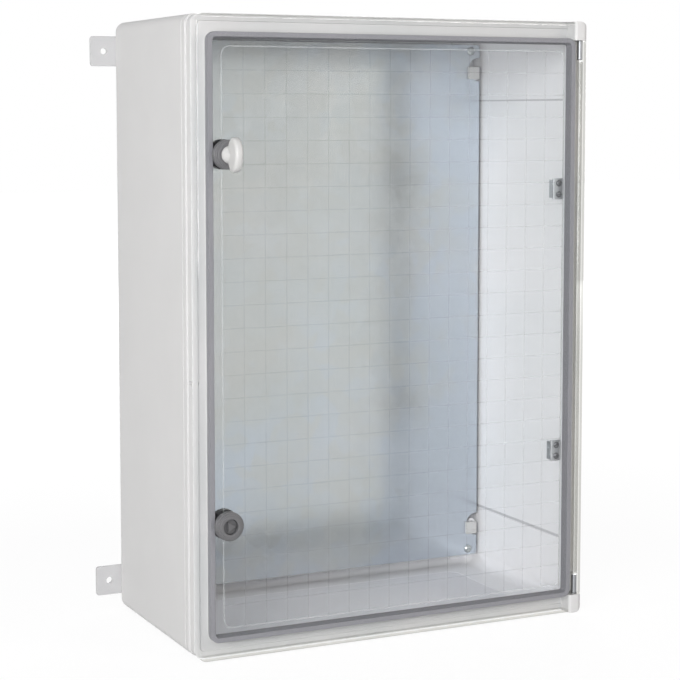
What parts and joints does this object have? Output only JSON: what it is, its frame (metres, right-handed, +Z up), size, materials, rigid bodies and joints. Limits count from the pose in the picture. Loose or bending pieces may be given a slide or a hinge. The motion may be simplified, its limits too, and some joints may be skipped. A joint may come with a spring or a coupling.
{
  "type": "control cabinet",
  "caption": "Wall-mounted moulded control cabinet with a clear hinged door, quarter-turn locks, a wing key, a galvanised mounting plate and wall brackets.",
  "frame": {"origin": "on the underside of the base, midway between the sides and midway between the door's front face and the wall", "axes": "+Z up, +Y towards the wall, +X to the right as seen from the front, so the door faces -Y"},
  "size_m": [0.392, 0.2193, 0.5],
  "materials": {
    "body_plastic": "light grey moulded plastic, fine satin",
    "clear_plastic": "clear polished polycarbonate",
    "gasket_foam": "grey closed-cell foam",
    "seal_rubber": "black rubber",
    "lock_plastic": "dark grey glass-filled plastic",
    "white_plastic": "white satin plastic",
    "galvanised_sheet": "hot-dip galvanised with spangle",
    "zinc_steel": "bright zinc plate",
    "bracket_steel": "light grey powder coat",
    "dark_steel": "black oxide"
  },
  "bodies": {
    "cabinet": {"enclosure_body": "body_plastic", "mounting_plate": "galvanised_sheet", "plate_screws": "zinc_steel", "plate_clips": "white_plastic", "upper_left_wall_bracket": "bracket_steel", "upper_right_wall_bracket": "bracket_steel", "lower_left_wall_bracket": "bracket_steel", "lower_right_wall_bracket": "bracket_steel", "wall_bracket_screws": "zinc_steel", "upper_rim_bracket": "zinc_steel", "lower_rim_bracket": "zinc_steel", "rim_bracket_screws": "dark_steel", "upper_hinge_pin": "dark_steel", "lower_hinge_pin": "dark_steel"},
    "door": {"door_panel": "clear_plastic", "door_gasket": "gasket_foam", "upper_lock_housing": "lock_plastic", "upper_lock_seal": "seal_rubber", "upper_lock_collar": "lock_plastic", "lower_lock_housing": "lock_plastic", "lower_lock_seal": "seal_rubber", "lower_lock_collar": "lock_plastic"},
    "upper_lock": {"upper_lock_insert": "lock_plastic", "upper_lock_cam": "zinc_steel", "upper_cam_screw": "zinc_steel"},
    "lower_lock": {"lower_lock_insert": "lock_plastic", "lower_lock_cam": "zinc_steel", "lower_cam_screw": "zinc_steel"},
    "key": {"wing_key": "white_plastic"}
  },
  "joints": [
    {"name": "door_hinge", "type": "hinge", "parent": "cabinet", "child": "door", "pos_m": [0.1698, -0.0898, 0.25], "axis": [0, 0, 1], "range_deg": [0, 180]},
    {"name": "upper_lock_turn", "type": "hinge", "parent": "door", "child": "upper_lock", "pos_m": [-0.151, -0.095, 0.393], "axis": [0, 1, 0], "range_deg": [0, 90]},
    {"name": "lower_lock_turn", "type": "hinge", "parent": "door", "child": "lower_lock", "pos_m": [-0.151, -0.095, 0.107], "axis": [0, 1, 0], "range_deg": [0, 90]},
    {"name": "key_pull", "type": "slide", "parent": "upper_lock", "child": "key", "axis": [0, -1, 0], "range_m": [0, 0.02]}
  ]
}
